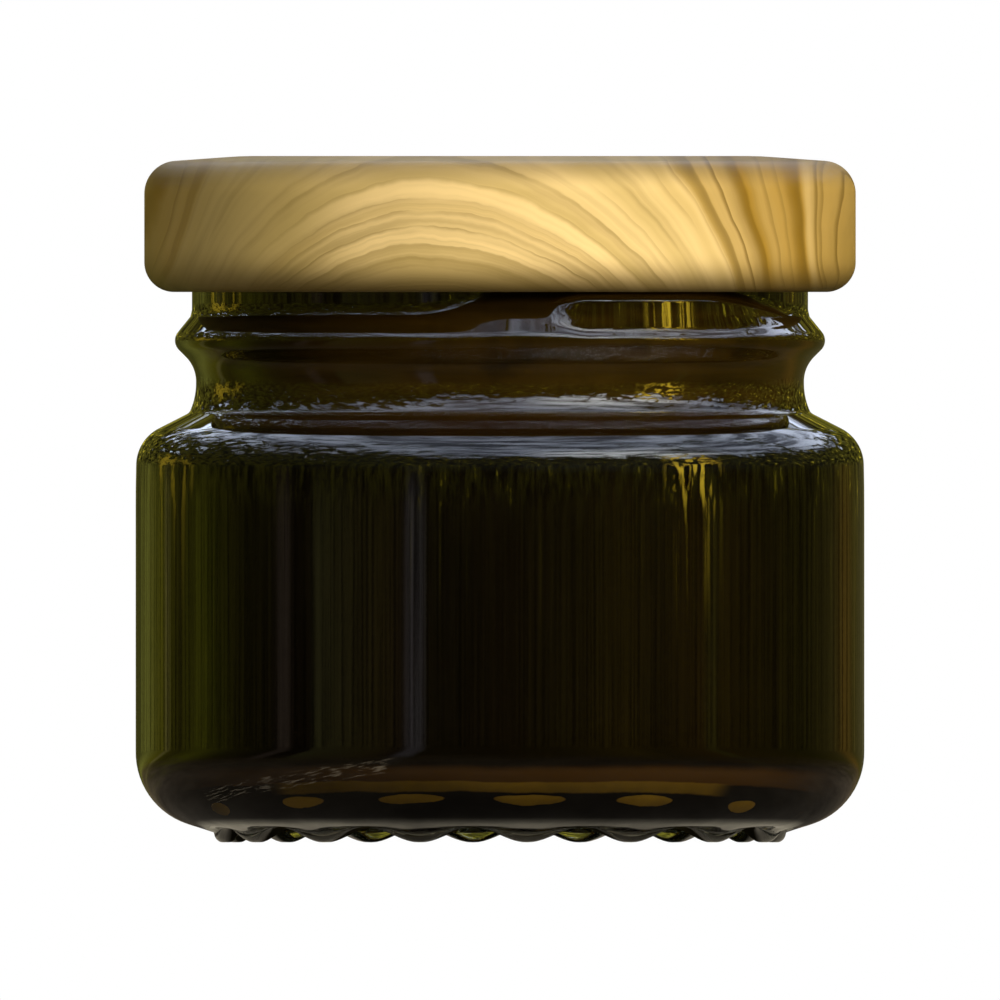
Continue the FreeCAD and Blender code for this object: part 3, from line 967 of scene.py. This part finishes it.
def surround_material(settings):
    """Dim panels below, leaves over them, and a bluish canopy above that is brightest on the right.

    Two warm glints lie among the leaves, the one at the back low and faint. Everything follows
    the direction from the jar alone: the height of the panels' edge is a noise of the direction,
    with a finer one that breaks it up, most of all on the left.
    """
    material, graph, place = new_material("Surround")
    unit = graph.add("ShaderNodeVectorMath", operation="NORMALIZE")
    graph.put(unit.inputs[0], place)
    side, front, up = graph.split(unit.outputs[0])
    azimuth = graph.azimuth(side, front)
    left = graph.span(side, -0.2, -0.8)
    lumps = graph.noise(unit.outputs[0], 2.6, 3.0, 0.6)
    leaves = graph.noise(unit.outputs[0], 16.0, 6.0, 0.7)
    edge = graph.math("MULTIPLY_ADD", graph.math("SUBTRACT", lumps, 0.5), 0.35, 0.40)
    ragged = graph.math("MULTIPLY_ADD", left, 2.2, 0.9)
    edge = graph.math("MULTIPLY_ADD", graph.math("SUBTRACT", leaves, 0.5), ragged, edge)
    edge = graph.math("MULTIPLY_ADD", left, 0.28, edge)
    sky = graph.span(graph.math("SUBTRACT", up, edge), -0.02, 0.03)
    sky = graph.math("MULTIPLY", sky, graph.span(up, 0.14, 0.20))
    level = graph.scaled(unit.outputs[0], (1, 1, 0.12))
    streak = graph.span(graph.noise(level, 60.0, 6.0, 0.9), 0.41, 0.59, 0.25, 1.85, False)
    low = graph.mix(1.0, panels(graph, azimuth), streak, "MULTIPLY")
    fine = graph.noise(unit.outputs[0], 30.0, 5.0, 0.7)
    green = graph.mix(graph.span(fine, 0.42, 0.60), (0.02, 0.018, 0.005), (0.26, 0.24, 0.030))
    spark = graph.math("MULTIPLY", graph.span(fine, 0.62, 0.66), graph.span(left, 0.8, 0.3))
    green = graph.mix(spark, green, (2.4, 1.9, 0.12))
    low = graph.mix(graph.span(up, 0.015, 0.10), low, green)
    right = graph.window(azimuth, 0.90, 1.0, 1.18, 1.32)
    rear = graph.window(azimuth, -2.5, -2.3, -2.1, -1.9)
    rear = graph.times(rear, graph.span(up, 0.30, 0.18, 0.0, 0.12))
    glint = graph.math("MAXIMUM", right, rear)
    glint = graph.times(glint, graph.window(up, 0.02, 0.07, 0.32, 0.50))
    glint = graph.times(glint, graph.span(leaves, 0.51, 0.56))
    drift = graph.noise(graph.scaled(unit.outputs[0], (1, 1, 6)), 2.4, 5.0, 0.65)
    high = graph.mix(graph.span(drift, 0.38, 0.62), (0.32, 0.36, 0.47), (2.05, 2.3, 2.85))
    bright = graph.window(azimuth, 0.05, 0.6, 1.1, 1.5)
    bright = graph.times(bright, graph.window(up, 0.20, 0.36, 0.50, 0.75))
    lifted = graph.mix(bright, (1, 1, 1), (3.0, 2.8, 2.3))
    high = graph.mix(1.0, high, lifted, "MULTIPLY")
    boughs = graph.noise(unit.outputs[0], 7.0, 6.0, 0.75)
    boughs = graph.math("MULTIPLY", graph.span(boughs, 0.55, 0.60), graph.span(up, 0.97, 0.80))
    high = graph.mix(boughs, high, (0.10, 0.11, 0.03))
    shade = graph.mix(sky, low, high)
    shader = graph.add("ShaderNodeEmission")
    graph.put(shader.inputs["Color"], graph.mix(glint, shade, (9.0, 6.2, 0.4)))
    strength = graph.math("MULTIPLY_ADD", sky, settings.canopy - 1.0, 1.0)
    graph.put(shader.inputs["Strength"], strength)
    finish_surface(graph, shader.outputs[0])
    return material


# Painted shadow and sheen on the flag, from under the jar outwards:
# (radius in mm, red, green, blue). The dark middle is the jar's painted shadow, and the pale
# ring by the foot a painted sheen.
FLAG_PAINTED_SHADE = [
    (0.0, 0.010, 0.008, 0.003),
    (17.4, 0.010, 0.008, 0.003),
    (17.9, 0.42, 0.37, 0.28),
    (18.5, 0.40, 0.36, 0.27),
    (20.0, 0.055, 0.048, 0.038),
    (24.0, 0.070, 0.058, 0.042),
    (30.0, 0.120, 0.095, 0.065),
    (60.0, 0.110, 0.082, 0.040),
]


def flag_material():
    """Rings of painted shadow and sheen on a floor sheet, then the panels' own colours far out."""
    material, graph, place = new_material("FlagPaintedShade")
    side, front, _ = graph.split(place)
    reach = graph.math("SQRT", graph.math("MULTIPLY_ADD", side, side,
                                          graph.math("MULTIPLY", front, front)))
    outer = FLAG_PAINTED_SHADE[-1][0]
    places = [radius / outer for radius, *_ in FLAG_PAINTED_SHADE]
    shade = graph.ramp(graph.math("DIVIDE", reach, outer * MM), places, [rgb for _, *rgb in FLAG_PAINTED_SHADE])
    flag_mottle = graph.span(graph.noise(place, 110.0, 4.0, 0.7), 0.3, 0.7, 0.6, 1.4, False)
    near = graph.mix(1.0, shade, flag_mottle, "MULTIPLY")
    azimuth = graph.azimuth(side, front)
    far = graph.noise(place, 30.0, 4.0, 0.7)
    far = graph.span(graph.math("MULTIPLY_ADD", far, 0.12, reach), 0.09, 0.16)
    shader = graph.add("ShaderNodeEmission")
    graph.put(shader.inputs["Color"], graph.mix(far, near, panels(graph, azimuth)))
    finish_surface(graph, shader.outputs[0])
    return material


def set_lights(settings):
    """Soft key from the right; panels and a painted-shadow flag that only glass and gloss show."""
    surround = band_of_sphere("Surround", STAGE_REACH, -4, 88)
    surround.data.materials.append(surround_material(settings))
    only_in_gloss(surround)
    # Painted shadow: a dark flag on the floor that only the glass sees.
    flag = disc("FloorShadeFlag", STAGE_REACH, 0.02 * MM)
    flag.data.materials.append(flag_material())
    only_in_gloss(flag)
    lamp = bpy.data.lights.new("Key", "AREA")
    lamp.shape = "DISK"
    lamp.size = KEY_SIZE
    lamp.energy = settings.key
    lamp.color = (1.0, 0.93, 0.78)
    key = bpy.data.objects.new("Key", lamp)
    bpy.context.scene.collection.objects.link(key)
    flat = KEY_AWAY * math.cos(KEY_ELEVATION)
    key.location = (
        flat * math.sin(KEY_AZIMUTH),
        -flat * math.cos(KEY_AZIMUTH),
        KEY_AWAY * math.sin(KEY_ELEVATION) + settings.frame_height,
    )
    key.rotation_euler = (math.pi / 2 - KEY_ELEVATION, 0, KEY_AZIMUTH)
    key.visible_glossy = False
    key.visible_transmission = False


def set_floor():
    """A pale floor disc that keeps the jar's shadow, and looks paler than it lights the jar."""
    floor = disc("Floor", FLOOR_RADIUS, 0.0)
    material, graph, place = new_material("PaleFloor")
    matt = graph.add("ShaderNodeBsdfDiffuse")
    speck = graph.noise(place, 60.0, 4.0)
    graph.put(matt.inputs["Color"], graph.mix(speck, (0.76, 0.76, 0.75), (0.80, 0.80, 0.79)))
    lift = graph.add("ShaderNodeEmission")
    lift.inputs["Color"].default_value = (0.97, 0.98, 1.0, 1)
    graph.put(lift.inputs["Strength"], graph.math("MULTIPLY", white_background(graph), FLOOR_LIFT))
    both = graph.add("ShaderNodeAddShader")
    graph.put(both.inputs[0], matt.outputs[0])
    graph.put(both.inputs[1], lift.outputs[0])
    finish_surface(graph, both.outputs[0])
    floor.data.materials.append(material)


def set_camera(settings):
    """A level camera without perspective, looking from the front along +Y."""
    data = bpy.data.cameras.new("Camera")
    data.type = "ORTHO"
    data.ortho_scale = settings.frame_width
    camera = bpy.data.objects.new("Camera", data)
    camera.location = (0, -CAMERA_AWAY, settings.frame_height)
    camera.rotation_euler = (math.pi / 2, 0, 0)
    data.clip_start, data.clip_end = 0.01, 20
    bpy.context.scene.collection.objects.link(camera)
    bpy.context.scene.camera = camera


# ---------------------------------------------------------------- operators and panel


class MakeGlass(bpy.types.Operator):
    """Build the glass: a turned wall with a beaded neck, two thread lugs and a waved foot"""

    bl_idname = "jar.make_glass"
    bl_label = "Make Glass"

    def execute(self, context):
        piece = turned_mesh("JarGlassShell", *jar_grid(context.scene.jar_sizes))
        piece.data.materials.append(glass_material(context.scene.jar_colours))
        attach(piece, "root")
        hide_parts("jar")
        return {"FINISHED"}


class MakeContents(bpy.types.Operator):
    """Build the dark spread, a hair into the wall so that no air shows"""

    bl_idname = "jar.make_contents"
    bl_label = "Make Contents"

    def execute(self, context):
        section = contents_section(context.scene.jar_sizes)
        angle = np.radians(np.arange(0, 360, 1.5))
        radius = section[:, :1] + 0 * angle
        height = section[:, 1:] + 0 * angle
        piece = turned_mesh("SpreadFill", radius, height, angle)
        piece.data.materials.append(spread_material(context.scene.jar_colours, context.scene.jar_sizes))
        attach(piece, "root")
        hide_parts("contents")
        return {"FINISHED"}


class MakeLid(bpy.types.Operator):
    """Build the lid, a turned cap with a wood finish that rests on the rim"""

    bl_idname = "jar.make_lid"
    bl_label = "Make Lid"

    def execute(self, context):
        sizes = context.scene.jar_sizes
        section = lid_section(context.scene.lid_sizes, sizes.radius - sizes.shoulder_width)
        angle = np.radians(np.arange(0, 360, 1.0))
        radius = section[:, :1] + 0 * angle
        height = section[:, 1:] + 0 * angle
        piece = turned_mesh("WoodLid", radius, height, angle)
        look = context.scene.jar_colours
        piece.data.materials.append(wood_material(look, context.scene.lid_sizes))
        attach(piece, "root")
        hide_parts("lid")
        return {"FINISHED"}


class MakeStage(bpy.types.Operator):
    """Set the floor, the soft light, the white background and the camera"""

    bl_idname = "jar.make_stage"
    bl_label = "Make Stage"

    def execute(self, context):
        settings = context.scene.jar_stage
        set_world(settings)
        set_floor()
        set_lights(settings)
        set_camera(settings)
        context.scene.view_settings.view_transform = "Standard"
        return {"FINISHED"}


class JarPanel(bpy.types.Panel):
    """The jar's sizes, colours and build steps"""

    bl_idname = "VIEW3D_PT_jar"
    bl_label = "Jar"
    bl_space_type = "VIEW_3D"
    bl_region_type = "UI"
    bl_category = "Jar"

    def draw(self, context):
        for group, _ in GROUPS:
            box = self.layout.box()
            settings = getattr(context.scene, group)
            for name in settings.__annotations__:
                box.prop(settings, name)
        for step in STEPS:
            self.layout.operator(step.bl_idname)


GROUPS = [
    ("jar_sizes", JarSizes),
    ("lid_sizes", LidSizes),
    ("jar_colours", Colours),
    ("jar_stage", StageSettings),
]
STEPS = [MakeGlass, MakeContents, MakeLid, MakeStage]


def register():
    """Register the settings, the build steps and the panel."""
    for name, group in GROUPS:
        bpy.utils.register_class(group)
        setattr(bpy.types.Scene, name, PointerProperty(type=group))
    for step in [*STEPS, JarPanel]:
        bpy.utils.register_class(step)


def unregister():
    """Take them all back out."""
    for step in [JarPanel, *reversed(STEPS)]:
        bpy.utils.unregister_class(step)
    for name, group in reversed(GROUPS):
        delattr(bpy.types.Scene, name)
        bpy.utils.unregister_class(group)


def main():
    """Build every piece and the stage."""
    register()
    bpy.ops.jar.make_glass()
    bpy.ops.jar.make_contents()
    bpy.ops.jar.make_lid()
    bpy.ops.jar.make_stage()


if __name__ == "__main__":
    main()
